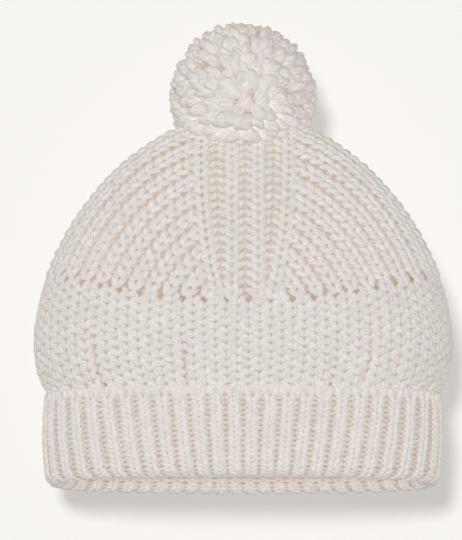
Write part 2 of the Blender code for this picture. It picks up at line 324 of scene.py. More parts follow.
class Heap:
    """Collects tubes and sheets of one piece, and makes one mesh of them."""

    def __init__(self):
        self.points, self.fibre, self.height = [], [], []
        self.quads, self.triangles, self.count = [], [], 0

    def add(self, points, quads, triangles, fibre, height):
        self.points.append(points.reshape(-1, 3))
        self.fibre.append(fibre.reshape(-1, 3))
        self.height.append(height.reshape(-1))
        self.quads.append(quads.reshape(-1, 4) + self.count)
        self.triangles.append(triangles.reshape(-1, 3) + self.count)
        self.count += points.size // 3

    def tubes(self, centres, outward, radius, lift, sides=8, flat=0.85, twist=900.0):
        """Capped tubes along rows of centres. lift is each centre's height over the fabric's face, and
        twist is how fast the fibres wind, in radians for a metre.
        """
        rows, steps = centres.shape[:2]
        tangent, side, up, length = frames_along(centres, outward)
        turn = np.arange(sides) * 2 * math.pi / sides
        cos, sin = np.cos(turn)[None, None, :, None], np.sin(turn)[None, None, :, None]
        r = radius[:, :, None, None]
        rings = centres[:, :, None, :] + r * (cos * side[:, :, None, :] + flat * sin * up[:, :, None, :])
        # A point's level, lower on a tube's underside, sets how much shade the material paints on it.
        level = lift[:, :, None] + (r * flat * sin)[..., 0]
        wind = turn[None, None, :] - twist * length[:, :, None]
        own = random.uniform(0.0, 50.0, (rows, 1, 1))
        fibre = stack(np.cos(wind), np.sin(wind), length[:, :, None] * FIBRE_RATE + own)
        first = centres[:, 0] - tangent[:, 0] * radius[:, :1] * END_BULGE
        last = centres[:, -1] + tangent[:, -1] * radius[:, -1:] * END_BULGE
        points = np.concatenate([rings.reshape(rows, -1, 3), first[:, None], last[:, None]], axis=1)
        ends = np.stack([fibre[:, 0, 0], fibre[:, -1, 0]], axis=1)
        fibres = np.concatenate([fibre.reshape(rows, -1, 3), ends], axis=1)
        levels = np.concatenate([level.reshape(rows, -1), lift[:, :1], lift[:, -1:]], axis=1)
        self.add(points, *tube_faces(rows, steps, sides), fibres, levels)

    def sheet(self, outer, inner, closed_round, outer_level=-0.0022, inner_level=-0.0022):
        """A closed sheet from two grids of points, [across][up], joined along their edges."""
        columns, rows = outer.shape[:2]
        points = np.concatenate([outer.reshape(-1, 3), inner.reshape(-1, 3)])
        quads = sheet_faces(columns, rows, closed_round)
        # The sheet's levels, low under the stitches, make the material paint it with shade.
        level = np.repeat([outer_level, inner_level], columns * rows)
        self.add(points, quads, np.zeros((0, 3), int), points * SHEET_FIBRE_RATE, level)

    def mesh(self, name):
        """One mesh of everything in the heap, with its fibre directions and levels as attributes."""
        points, quads = np.concatenate(self.points), np.concatenate(self.quads)
        triangles = np.concatenate(self.triangles)
        mesh = bpy.data.meshes.new(name)
        mesh.vertices.add(len(points))
        mesh.vertices.foreach_set("co", points.astype(np.float32).ravel())
        corners = np.concatenate([quads.ravel(), triangles.ravel()]).astype(np.int32)
        mesh.loops.add(len(corners))
        mesh.loops.foreach_set("vertex_index", corners)
        sizes = np.repeat([4, 3], [len(quads), len(triangles)]).astype(np.int32)
        mesh.polygons.add(len(sizes))
        mesh.polygons.foreach_set("loop_start", (np.cumsum(sizes) - sizes).astype(np.int32))
        mesh.update(calc_edges=True)
        mesh.shade_smooth()
        fibre = mesh.attributes.new("fibre", "FLOAT_VECTOR", "POINT")
        fibre.data.foreach_set("vector", np.concatenate(self.fibre).astype(np.float32).ravel())
        # The levels go into the height attribute, which sets the painted shade.
        height = mesh.attributes.new("height", "FLOAT", "POINT")
        height.data.foreach_set("value", np.concatenate(self.height).astype(np.float32))
        return mesh

    def build(self, name, material, body, nodes=()):
        """The heap as a piece of the object. A pair of bodies leaves it in place, attached to neither."""
        mesh = self.mesh(name)
        mesh.materials.append(material)
        piece = put_in_scene(name, mesh)
        if isinstance(body, tuple):
            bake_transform(piece)
        else:
            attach(piece, body)
        if nodes:
            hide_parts(*nodes)


class Wale:
    """One column of knitting: a line on the fabric with its face's normals."""

    def __init__(self, points, normals):
        self.points, self.normals = points, unit(normals)
        self.arc = np.concatenate([[0.0], np.cumsum(np.linalg.norm(np.diff(points, axis=0), axis=1))])
        self.tangents = unit(np.gradient(points, axis=0))
        self.length = self.arc[-1]

    def read(self, values, at):
        flat = np.stack([np.interp(at.ravel(), self.arc, values[:, i]) for i in range(3)], axis=-1)
        return flat.reshape(at.shape + (3,))

    def place(self, at, across, out):
        """Points beside the line: at is the way along it, across to its right, out from the face."""
        centre, normal = self.read(self.points, at), unit(self.read(self.normals, at))
        tangent = unit(self.read(self.tangents, at))
        right = unit(np.cross(tangent, normal))
        beyond = at - np.clip(at, 0.0, self.length)
        centre = centre + beyond[..., None] * tangent
        return centre + across[..., None] * right + out[..., None] * normal, normal


def wale_on(surface, u, v):
    return Wale(surface(u, v), normals_of(surface, u, v))


def leg_shape(top, foot, rise, drop, outs, radius, steps=7, bend=1.0, ends=0.62, foot_end=None):
    """One leg of a V stitch, from its tucked top to its foot.

    top and foot are how far each lies beside the wale's middle. rise and drop are their places along
    the wale, in stitches. outs are heights over the face at the top, the middle and the foot. ends and
    foot_end are the shares of the radius that are left at the top and the foot.
    """
    t = np.linspace(0.0, 1.0, steps)
    across = between(foot, top, (1.0 - t) ** bend)
    along = between(rise, drop, t)
    a, b, c = outs
    out = a * (1 - t) * (1 - 2 * t) + 4 * b * t * (1 - t) + c * t * (2 * t - 1)
    plump = np.sin(math.pi * between(0.02, 0.98, t)) ** 0.55
    least = between(ends, ends if foot_end is None else foot_end, t)
    return across, along, out, radius * between(least, 1.0, plump)


def add_stitches(heap, wales, starts, rows, counts, shape, sides=8, flat=0.85, jitter=0.05, scale=1.0,
                 twist=900.0, sink=None):
    """The same leg and its mirror image at every stitch of every wale, a little uneven as by hand.

    starts, rows, counts and scale are where the first stitch is, the pitch, the number of stitches and
    their size: one value for all wales, or one for each. sink gives how far points go down into a crease.
    """
    across, along, out, radius = shape
    steps = len(across)
    centres, outward, radii, lifts = [], [], [], []
    each = (np.broadcast_to(values, len(wales)) for values in (starts, rows, counts, scale))
    for wale, start, row, count, grow in zip(wales, *each):
        for sign in (-1, 1):
            wobble = random.normal(0.0, 1.0, (4, count, 1))
            even = np.zeros((count, steps))
            index = np.arange(count)[:, None]
            at = start + (index + along[None] + 0.5 * jitter * wobble[0]) * row
            side = sign * across[None] * grow * (1 + jitter * wobble[1]) + jitter * wobble[1] * SIDE_WOBBLE
            lift = out[None] + LIFT_WOBBLE * wobble[2] + even
            points, normal = wale.place(at, side + even, lift)
            # In a crease the points go down, and so do their levels, so shade is painted along the crease.
            if sink:
                drop = sink(points)
                points, lift = points - drop[..., None] * normal, lift - drop
            centres.append(points)
            outward.append(normal)
            thickness = (1 + 0.6 * jitter * wobble[3]) * (0.5 + 0.5 * grow)
            radii.append(radius[None] * thickness + even)
            lifts.append(lift)
    rows = (np.concatenate(parts) for parts in (centres, outward, radii, lifts))
    heap.tubes(*rows, sides=sides, flat=flat, twist=twist)


# -------- materials
SHEEN_TINT = (1.0, 0.94, 0.87, 1.0)


def set_values(node, values):
    for socket, value in values.items():
        node.inputs[socket].default_value = value


def fibre_noise(tree):
    """Noise that is drawn out along the fibres, which wind round the yarn."""
    fibre = tree.nodes.new("ShaderNodeAttribute")
    fibre.attribute_name = "fibre"
    stretch = tree.nodes.new("ShaderNodeMapping")
    set_values(stretch, {"Scale": (1.8, 1.8, 0.38)})
    strands = tree.nodes.new("ShaderNodeTexNoise")
    set_values(strands, {"Scale": 1.0, "Detail": 3.0, "Roughness": 0.6})
    tree.links.new(fibre.outputs["Vector"], stretch.inputs["Vector"])
    tree.links.new(stretch.outputs["Vector"], strands.inputs["Vector"])
    return strands.outputs["Fac"]


def painted_shade_tone(tree, light, painted_shade, painted_shade_at, light_at):
    """Painted shade: a darker, warmer colour down between the stitches, and the light colour on top of
    them.
    """
    height = tree.nodes.new("ShaderNodeAttribute")
    height.attribute_name = "height"
    reach = tree.nodes.new("ShaderNodeMapRange")
    reach.interpolation_type = "SMOOTHSTEP"
    set_values(reach, {"From Min": painted_shade_at, "From Max": light_at})
    painted_shade_mix = tree.nodes.new("ShaderNodeMix")
    painted_shade_mix.data_type = "RGBA"
    set_values(painted_shade_mix, {"A": (*painted_shade, 1.0), "B": (*light, 1.0)})
    tree.links.new(height.outputs["Fac"], reach.inputs["Value"])
    tree.links.new(reach.outputs["Result"], painted_shade_mix.inputs["Factor"])
    return painted_shade_mix.outputs["Result"]


def wool_material(name, light, painted_shade, painted_shade_at, light_at, streak=0.5, bump=0.6, sheen=0.25):
    """Wool yarn: twisted fibres, painted shade in a darker, warmer colour down in the stitches, and a soft
    sheen.

    The two levels over the fabric's face, in metres, are those of the painted shade colour and of the light
    colour.
    """
    material = bpy.data.materials.new(name)
    material.use_nodes = True
    tree = material.node_tree
    shader = tree.nodes["Principled BSDF"]
    set_values(shader, {"Roughness": 0.88, "Specular IOR Level": 0.18, "Sheen Weight": sheen,
                        "Sheen Roughness": 0.6, "Sheen Tint": SHEEN_TINT})
    strands = fibre_noise(tree)
    shade = tree.nodes.new("ShaderNodeMapRange")
    set_values(shade, {"From Min": 0.3, "From Max": 0.7,
                       "To Min": 1.0 - 0.12 * streak, "To Max": 1.0 + 0.04 * streak})
    mottled = tree.nodes.new("ShaderNodeVectorMath")
    mottled.operation = "SCALE"
    relief = tree.nodes.new("ShaderNodeBump")
    set_values(relief, {"Strength": bump, "Distance": 0.0007})
    tree.links.new(strands, shade.inputs["Value"])
    tree.links.new(painted_shade_tone(tree, light, painted_shade, painted_shade_at, light_at), mottled.inputs[0])
    tree.links.new(shade.outputs["Result"], mottled.inputs["Scale"])
    tree.links.new(mottled.outputs["Vector"], shader.inputs["Base Color"])
    tree.links.new(strands, relief.inputs["Height"])
    tree.links.new(relief.outputs["Normal"], shader.inputs["Normal"])
    return material


LIGHT_WOOL = (0.94, 0.914, 0.888)
# Painted shade: a darker, warmer colour for down between the stitches, standing in for the shade and
# bounced light there.
PAINTED_SHADE_WOOL = (0.76, 0.65, 0.53)
# Painted light: the rib's yarn is a little lighter than the knit's, to lift the cuff's more shaded ribs.
RIB_WOOL_PAINTED_LIGHTER = (0.955, 0.93, 0.905)
# Painted shade: the pompom's yarn is a little darker than the knit's, to tone down the brighter light on
# it.
POMPOM_WOOL_PAINTED_DARKER = (0.93, 0.897, 0.865)
# Painted shade, deep inside the pompom.
POMPOM_PAINTED_SHADE = (0.75, 0.652, 0.548)
knit_wool = wool_material("cream_knit_wool", LIGHT_WOOL, PAINTED_SHADE_WOOL, -0.0021, 0.0002, 1.7, 0.8)
rib_wool = wool_material("cream_rib_wool", RIB_WOOL_PAINTED_LIGHTER, PAINTED_SHADE_WOOL, -0.0014, -0.0001, 1.4, 0.7)
pompom_wool = wool_material("pompom_wool", POMPOM_WOOL_PAINTED_DARKER, POMPOM_PAINTED_SHADE, -0.0054, -0.0004, 1.8, 0.85, 0.1)
tie_wool = wool_material("tie_wool", LIGHT_WOOL, PAINTED_SHADE_WOOL, -0.001, 0.0005)


# -------- cuff
CUFF_ROUND = 540
RIB_LEAN = 0.0105
CUFF_CLOTH = 0.0014
FOLD_RADIUS = THICKNESS + 0.0002
# The ways along one side of the folded cuff and round its fold.
CUFF_SIDE = CUFF_TOP - FOLD_RADIUS
CUFF_FOLD = math.pi * FOLD_RADIUS


def cuff_path(u, way):
    """The folded cuff's face: way goes down from the turn-up's top edge, round the fold and up inside."""
    down = np.clip(way, 0.0, CUFF_SIDE)
    turn = np.clip((way - CUFF_SIDE) / CUFF_FOLD, 0.0, 1.0) * math.pi
    up = np.clip(way - CUFF_SIDE - CUFF_FOLD, 0.0, None)
    z = CUFF_TOP - down - FOLD_RADIUS * np.sin(turn) + up
    inset = FOLD_RADIUS * (1.0 - np.cos(turn))
    lean = RIB_LEAN * np.sin(4 * math.pi * u) * down / CUFF_SIDE
    return level_at(u - lean, cuff_half_width(np.maximum(z, 0.0)), inset, z)


def cuff_normal(u, way):
    """Out of the cloth's face: the way runs downwards, so the cross product is turned round."""
    return -normals_of(cuff_path, u, way)


def rib_wale(u, from_way, to_way, steps=60):
    """A wale of the cuff whose own direction runs up the outer face."""
    way = np.linspace(to_way, from_way, steps)
    turns = np.full(steps, u)
    return Wale(cuff_path(turns, way), cuff_normal(turns, way))


RIB_LEG = leg_shape(0.00232, 0.00062, 1.12, -0.1, (-0.0014, -0.0003, -0.0006), 0.00126, foot_end=0.88)
RIB_PURLS = [leg_shape(0.0025, 0.0, rise, 0.5, (-0.0017, -0.0012, -0.0011), 0.00078, steps=5, ends=0.8)
             for rise in (0.0, 1.0)]
INNER_LEG = leg_shape(0.0013, 0.0005, 1.25, -0.22, (-0.0016, -0.0011, -0.0012), 0.0008)
INNER_PURLS = [leg_shape(0.0036, 0.0, rise, 0.5, (-0.0014, -0.0008, -0.0006), 0.00078, steps=5, ends=0.8)
               for rise in (0.15, 0.85)]


def make_cuff_part(name, node, from_way, to_way, leg, bumps, edge=False, sides=7, under=0.0012):
    """The rib between two places on the cuff's path: knit wales, purl valleys and the cloth beneath."""
    heap = Heap()
    length = to_way - from_way
    count = max(1, round(length / CUFF_ROW))
    row = length / count
    knit = [rib_wale((n + 0.5) / RIBS, from_way, to_way) for n in range(RIBS)]
    purl = [rib_wale(n / RIBS, from_way, to_way) for n in range(RIBS)]
    full = count - 2 if edge else count
    add_stitches(heap, knit, 0.0, row, full, leg, sides=sides, jitter=0.06, flat=0.8, twist=CUFF_TWIST)
    for bump in bumps:
        add_stitches(heap, purl, 0.0, row, full + edge, bump, sides=6, jitter=0.06, twist=CUFF_TWIST)
    if edge:
        add_edge_loops(heap, knit, purl, row, full * row)
    across = np.arange(CUFF_ROUND)[:, None] / CUFF_ROUND
    way = np.linspace(from_way, to_way, 24)[None, :]
    face, normal = cuff_path(across, way), cuff_normal(across, way)
    valley = 0.5 + 0.5 * np.cos(2 * math.pi * RIBS * across)
    depth = (under + 0.0003 * valley)[..., None]
    outer, inner = face - depth * normal, face - (depth + CUFF_CLOTH) * normal
    # The cloth's low level paints it with shade.
    heap.sheet(outer[:, ::-1], inner[:, ::-1], True, -0.0014)
    heap.build(name, rib_wool, "hat", [node])


def add_edge_loops(heap, knit, purl, row, start):
    """The cast-on edge: the last legs lean out over the valleys, with round loops on top of them."""
    lean = leg_shape(0.003, 0.0012, 1.72, 0.2, (-0.0007, -0.0005, -0.0008), 0.00155,
                     bend=0.3, ends=0.85)
    cap = leg_shape(0.0021, 0.0, 1.4, 1.52, (-0.001, -0.0006, -0.0005), 0.00135, steps=5, ends=0.85)
    crest = leg_shape(0.0019, 0.0, 1.5, 1.74, (-0.001, -0.0006, -0.0005), 0.00132, steps=5, ends=0.85)
    for wales, shape in ((knit, lean), (purl, cap), (knit, crest)):
        add_stitches(heap, wales, start, row, 1, shape, flat=0.9, twist=CUFF_TWIST)
    for level in (0.75, 1.2, 1.65):
        ends = level - 0.1, level - 0.3
        bridge = leg_shape(0.0021, 0.0, *ends, (-0.0014, -0.001, -0.0009), 0.0008, steps=5)
        add_stitches(heap, knit, start, row, 1, bridge, sides=6, twist=CUFF_TWIST)


def make_cuff():
    folded = CUFF_SIDE + CUFF_FOLD
    make_cuff_part("cuff_turn_up_rib", "cuff_turn_up", 0.0006, CUFF_SIDE, RIB_LEG, RIB_PURLS, True, 8)
    make_cuff_part("rim_fold_rib", "rim_fold", CUFF_SIDE, folded, RIB_LEG, RIB_PURLS)
    make_cuff_part("cuff_inner_rib", "cuff_inner_wall", folded, folded + CUFF_SIDE, INNER_LEG,
                   INNER_PURLS, sides=6, under=0.0009)


# -------- band
BAND_LEG = leg_shape(0.003, 0.00058, 1.00, 0.00, (-0.0019, -0.0008, -0.0006), 0.00172,
                     ends=0.74, foot_end=0.97)
BAND_CLOTH_COLUMNS = 392
BAND_CLOTH_ROWS = 44
# The band's cloth reaches this far down behind the cuff and up behind the crown.
BAND_TUCK_LOW = 0.0038
BAND_TUCK_HIGH = 0.0012


def make_band():
    """Columns of V stitches in a brick pattern: every other column starts half a stitch lower."""
    heap = Heap()
    wales, starts, rows, counts = [], [], [], []
    for n in range(BAND_COLUMNS):
        u = (n + 0.5) / BAND_COLUMNS
        top = float(join_height(u)) + 0.0005
        z = np.linspace(CUFF_TOP - 0.0035, top, 40)
        wale = wale_on(smooth_band_at, np.full(40, u), z)
        row = (wale.length - 0.0008) / BAND_ROWS
        wales.append(wale)
        starts.append(-0.5 * row if n % 2 else 0.0)
        rows.append(row)
        counts.append(BAND_ROWS + (1 if n % 2 else 0))
    add_stitches(heap, wales, starts, rows, counts, BAND_LEG, jitter=0.055, flat=0.7, sink=crease_under)
    add_band_cloth(heap)
    heap.build("band_knit", knit_wool, "hat", ["band"])


def add_band_cloth(heap):
    """The closed cloth under the stitches: lower along the crown's join, and rippled on its inner face."""
    across = np.arange(BAND_CLOTH_COLUMNS)[:, None] / BAND_CLOTH_COLUMNS
    share = np.linspace(0.0, 1.0, BAND_CLOTH_ROWS)[None, :]
    low = CUFF_TOP - BAND_TUCK_LOW
    z = between(low, join_height(across) + BAND_TUCK_HIGH, share)
    face, normal = band_at(across, z), normals_of(band_at, across, z)
    ripple = 0.0004 * np.cos(2 * math.pi * BAND_COLUMNS * across) * np.cos(2 * math.pi * BAND_ROWS * share)
    under = (0.0012 + 0.0024 * np.exp(-(((1.0 - share) / 0.05) ** 2)))[..., None]
    heap.sheet(face - under * normal, face - (THICKNESS + ripple)[..., None] * normal, True)


# -------- crown
PANEL_WALE_STEPS = 90
SIDE_WALE_STEPS = 240
SIDE_REACH = 0.098
SIDE_REACH_STEPS = 320
FIRST_SIDE_PITCH = 0.0112
LAST_SIDE_WAY = 0.135


def mirrored(wale, flip_x, flip_y):
    """The same wale on another quarter of the crown."""
    flip = np.array([-1.0 if flip_x else 1.0, -1.0 if flip_y else 1.0, 1.0])
    return Wale(wale.points * flip, wale.normals * flip)


def panel_wale(inner, outer, low_row=0.0):
    """A wale of the front panel: shares of its upright knit wale's x and of its decrease line's."""
    climb = np.linspace(float(climb_at(JOIN_MIDDLE_HEIGHT + low_row)), TOP_CLIMB, PANEL_WALE_STEPS)
    z = crown_height_at(climb)
    widest = crown_half_width(climb)
    edge = np.minimum(panel_half_width(z), 0.62 * widest)
    x = inner * np.minimum(PANEL_KNIT_X, 0.2 * widest) + outer * edge
    x = x + np.minimum(PANEL_SHIFT, 0.1 * widest)
    u = crown_turn_for(np.abs(x), climb) * np.sign(x)
    return wale_on(crown_at, u, climb)


def side_pitches():
    """Ways from the side line to each wale: wider where the cloth turns the corner at the side."""
    ways, way, pitch = [0.0], 0.0, FIRST_SIDE_PITCH
    while way < LAST_SIDE_WAY:
        way += pitch
        ways.append(way)
        pitch = max(SIDE_PITCH, pitch - 0.0006)
    return np.array(ways)


def ways_from_edge(edge, inward):
    """Steps in from the side line, seen from the front, and each one's way over the crown."""
    step = np.linspace(0.0, 1.0, SIDE_REACH_STEPS) ** 1.6 * SIDE_REACH
    x = edge[:, None, 0] + inward[:, None, 0] * step[None]
    z = np.clip(edge[:, None, 2] + inward[:, None, 1] * step[None], WIDEST_HEIGHT + 1e-5, None)
    climbs = climb_at(z)
    points = crown_at(crown_turn_for(np.maximum(x, 0.0), climbs), climbs)
    gone = np.linalg.norm(np.diff(points, axis=1), axis=2)
    return step, np.concatenate([np.zeros((len(edge), 1)), np.cumsum(gone, axis=1)], axis=1)


def side_wales(ways, shift):
    """Wales of the front right quarter that keep their distance from the hat's side line.

    shift is how far the middle panel is moved towards this side.
    """
    climb = np.linspace(float(climb_at(0.078)), math.radians(86), SIDE_WALE_STEPS)
    edge = crown_at(np.full(SIDE_WALE_STEPS, 0.25), climb)
    tangent = unit(np.gradient(edge[:, [0, 2]], axis=0))
    inward = np.stack([-tangent[:, 1], tangent[:, 0]], axis=-1)
    step, travelled = ways_from_edge(edge, inward)
    wales = []
    for way in ways:
        at = np.array([np.interp(way, row, step) for row in travelled])
        x = edge[:, 0] + inward[:, 0] * at
        z = edge[:, 2] + inward[:, 1] * at
        climbs = climb_at(z)
        turns = crown_turn_for(np.maximum(x, 0.0), climbs)
        inside = (z > join_height(turns) + 0.0006) & (x > panel_half_width(z) + shift + 0.0026)
        inside &= climbs < TOP_CLIMB
        stretch = np.flatnonzero(inside)
        if len(stretch) < 6:
            continue
        kept = slice(stretch[0], stretch[-1] + 1)
        wales.append(wale_on(crown_at, turns[kept], climbs[kept]))
    return wales


PANEL_LEG = leg_shape(0.0032, 0.00085, 1.22, 0.04, (-0.0018, -0.0008, -0.0006), 0.00168,
                      ends=0.72, foot_end=0.9)
PANEL_PURL = leg_shape(0.003, 0.0003, -0.08, 0.4, (-0.0018, -0.0014, -0.0013), 0.00185,
                       bend=0.6, ends=0.85)
SIDE_LEG = leg_shape(0.0031, 0.00068, 1.12, 0.02, (-0.0023, -0.0005, -0.0013), 0.00178,
                     ends=0.72, foot_end=0.84)
SIDE_PURL = leg_shape(0.0025, 0.0004, 0.2, 0.5, (-0.0021, -0.0016, -0.0014), 0.00155, steps=5, ends=0.8)
EDGE_BUMP = leg_shape(0.0052, 0.0, 0.05, 0.5, (-0.0022, -0.0008, -0.0001), 0.00205, bend=0.7, ends=0.8)
CROWN_FLAT = 0.74
HALF_TURN = np.array([-1.0, -1.0, 1.0])


def even_rows(wales, wanted, first=0.0):
    """The start, and the pitch and count of stitches that fill each wale."""
    counts = [max(1, round((wale.length - first) / wanted)) for wale in wales]
    rows = [(wale.length - first) / count for wale, count in zip(wales, counts)]
    return first, rows, counts


def make_middle_panel(name, node, behind):
    """The front or back panel: two knit wales between the two decrease wales, with purl between them."""
    heap = Heap()
    knit, purl = ([mirrored(panel_wale(*shares), behind, behind) for shares in places]
                  for places in (((0, -1), (-1, 0), (1, 0), (0, 1)), ((-0.5, -0.5), (0, 0), (0.5, 0.5))))
    add_stitches(heap, knit, *even_rows(knit, PANEL_ROW), PANEL_LEG, flat=CROWN_FLAT)
    add_stitches(heap, purl, *even_rows(purl, PANEL_ROW, 0.003), PANEL_PURL, sides=7, flat=CROWN_FLAT)
    place = np.linspace(-1.0, 1.0, 15)
    columns = [panel_wale(0.0, share * 1.12, -0.001) for share in place]
    face = np.stack([wale.points for wale in columns])
    normal = np.stack([wale.normals for wale in columns])
    turn = HALF_TURN if behind else np.ones(3)
    under = (0.0015 + 0.0022 * np.exp(-((np.arange(PANEL_WALE_STEPS) / 5.0) ** 2)))[None, :, None]
    heap.sheet((face - under * normal) * turn, (face - THICKNESS * normal) * turn, False, -0.0012)
    heap.build(name, knit_wool, "hat", [node])


def make_side_panel(name, node, left):
    """The left or right panel: wales that run with the hat's outline until they reach a decrease line."""
    heap = Heap()
    ways = side_pitches()
    widths = np.maximum(1.0, np.diff(ways, append=ways[-1] + SIDE_PITCH) / SIDE_PITCH) ** 0.8
    knit, purl, grow, edge = [], [], [], []
    for behind in (False, True):
        shift = PANEL_SHIFT if behind == left else -PANEL_SHIFT
        quarter = [mirrored(wale, left, behind) for wale in side_wales(ways, shift)]
        knit += quarter[1:]
        grow += list(widths[1:][:len(quarter) - 1])
        if not behind:
            edge = quarter[:1]
        purl += [mirrored(wale, left, behind) for wale in side_wales((ways[1:] + ways[:-1]) / 2, shift)]
    add_stitches(heap, knit, *even_rows(knit, SIDE_ROW), SIDE_LEG, scale=grow, flat=CROWN_FLAT)
    add_stitches(heap, purl, *even_rows(purl, SIDE_ROW, 0.0042), SIDE_PURL, sides=6, flat=CROWN_FLAT)
    add_stitches(heap, edge, *even_rows(edge, SIDE_ROW), EDGE_BUMP, flat=0.85, jitter=0.04)
    add_side_sheet(heap, left)
    heap.build(name, knit_wool, "hat", [node])


def add_side_sheet(heap, left):
    """The cloth under the side panel's stitches."""
    across = np.linspace(-1.0, 1.0, 90)
    share = np.linspace(0.0, 1.0, 60)[None, :]
    turns = np.full((90, 60), 0.25)
    for _ in range(5):
        low = climb_at(join_height(turns) - 0.0008)
        climb = between(low, TOP_CLIMB, share)
        widest = crown_half_width(climb)
        edge_x = np.minimum(panel_half_width(crown_height_at(climb)), 0.6 * widest) - 0.0012
        edge = crown_turn_for(edge_x, climb)
        turns = 0.25 + across[:, None] * (0.25 - edge)
    face, normal = crown_at(turns, climb), normals_of(crown_at, turns, climb)
    turn = HALF_TURN if left else np.ones(3)
    under = (0.0014 + 0.0026 * np.exp(-((share / 0.035) ** 2)))[..., None]
    heap.sheet((face - under * normal) * turn, (face - THICKNESS * normal) * turn, False)


def make_crown():
    make_middle_panel("crown_front_knit", "crown_front_panel", False)
    make_middle_panel("crown_back_knit", "crown_back_panel", True)
    make_side_panel("crown_right_knit", "crown_right_panel", False)
    make_side_panel("crown_left_knit", "crown_left_panel", True)


# -------- pompom
POMPOM_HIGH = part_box("pompom_front_half")[1]
POMPOM_RADIUS = POMPOM_HIGH[0]
POMPOM_CENTRE = np.array([0.0, 0.0, POMPOM_HIGH[2] - POMPOM_RADIUS])
POMPOM_EYE = unit(np.array([0.08, -1.0, -0.16]))
STRANDS = 190
RIM_STRANDS = 26
STRAND_RADII = (0.0028, 0.0037)
STRAIGHT = 0.0125
DROOP = 0.0115
LIE = math.radians(66)
EYE_GAP = 0.27
PLIES = 2
PLY_TURN = 0.026
PLY_AWAY = 0.27
PLY_THICKNESS = 0.8
PLY_TWIST = -520.0
CORE_SHARE = 0.88
CORE_HOLLOW = 0.3
# What the ball keeps free over the crown, and how much more for each metre out to the side and the front.
CLEARANCE = 0.0016
LEAN_ROOM = (0.25, 0.37)
CROWN_TOP_DEPTH = 0.6
# The largest tufts round the eye: x and z of each from the pompom's middle, the way it points, and
# its radius.
TUFTS = [((-0.0085, -0.001), (-1.0, 0.12), 0.006), ((0.0085, -0.0095), (-0.22, -1.0), 0.005),
         ((0.0135, 0.0085), (0.75, 0.55), 0.0052), ((-0.003, 0.0135), (-0.35, 0.9), 0.0044),
         ((-0.002, -0.014), (-0.3, -0.8), 0.0038), ((0.003, -0.016), (0.2, -0.8), 0.0034),
         ((0.0042, 0.0115), (0.2, 0.9), 0.0042), ((0.001, -0.0085), (0.0, -1.0), 0.0036),
         ((0.016, -0.003), (1.0, -0.2), 0.0042), ((-0.0095, -0.0095), (-0.9, -0.5), 0.0042),
         ((0.0038, 0.004), (0.1, 1.0), 0.0046), ((0.0125, 0.002), (1.0, 0.35), 0.0046)]


def plied(heap, centres, outward, radius, level, turn=PLY_TURN, sides=8):
    """Plies wound round each row of centres, with the thickness of the whole strand at every centre."""
    _, side, up, length = frames_along(centres, outward)
    phase = random.uniform(0.0, 2 * math.pi, (len(centres), 1))
    for ply in range(PLIES):
        angle = (phase + 2 * math.pi * (length / turn + ply / PLIES))[..., None]
        away = PLY_AWAY * radius[..., None] * (np.cos(angle) * side + np.sin(angle) * up)
        heap.tubes(centres + away, outward, PLY_THICKNESS * radius, level, sides, 0.95, PLY_TWIST)


def crown_top_under(points):
    """The height of the crown's own stitches under these points."""
    spread = np.hypot(points[..., 0], points[..., 1] / CROWN_TOP_DEPTH) / HALF_WIDTH
    rise = (1.0 - np.minimum(spread, 1.0) ** CROWN_WIDTH_POWER) ** (1.0 / CROWN_RISE_POWER)
    return between(WIDEST_HEIGHT, CROWN_HEIGHT, rise)


def lean_floor(points):
    """The lowest the ball's yarn may lie, so that it clears the crown however the pompom leans."""
    return crown_top_under(points) + CLEARANCE + np.abs(points[..., :2]) @ LEAN_ROOM


def strand_aims(flip):
    """Evenly spread directions over one half of the pompom and a row low round its rim, a little shaken."""
    index = np.arange(STRANDS) + 0.5
    away = np.arccos(1.0 - 1.04 * index / STRANDS)
    turn = index * math.pi * (3.0 - math.sqrt(5.0))
    aim = stack(np.sin(away) * np.cos(turn), -np.cos(away), np.sin(away) * np.sin(turn))
    turn = (np.arange(RIM_STRANDS) + 0.5) / RIM_STRANDS * math.pi
    rim = unit(stack(np.cos(turn), -np.sin(turn), -0.78 + 0.22 * (np.arange(RIM_STRANDS) % 2)))
    aim = np.concatenate([aim, rim])
    aim = unit(aim + random.normal(0.0, 0.035, aim.shape))
    return aim * np.array([1.0, -1.0 if flip else 1.0, 1.0])


def sweep_sideways(aim, heading):
    """The strands near the ball's foot are pushed aside by the crown, so they lie out along it."""
    low = 0.78 * smooth_step((-aim[:, 2:] - 0.25) / 0.35)
    aside = stack(np.sign(aim[:, 0]) * (0.35 + np.abs(aim[:, 0])), aim[:, 1] * 0.5, -0.12)
    return unit((1.0 - low) * heading + low * unit(aside))


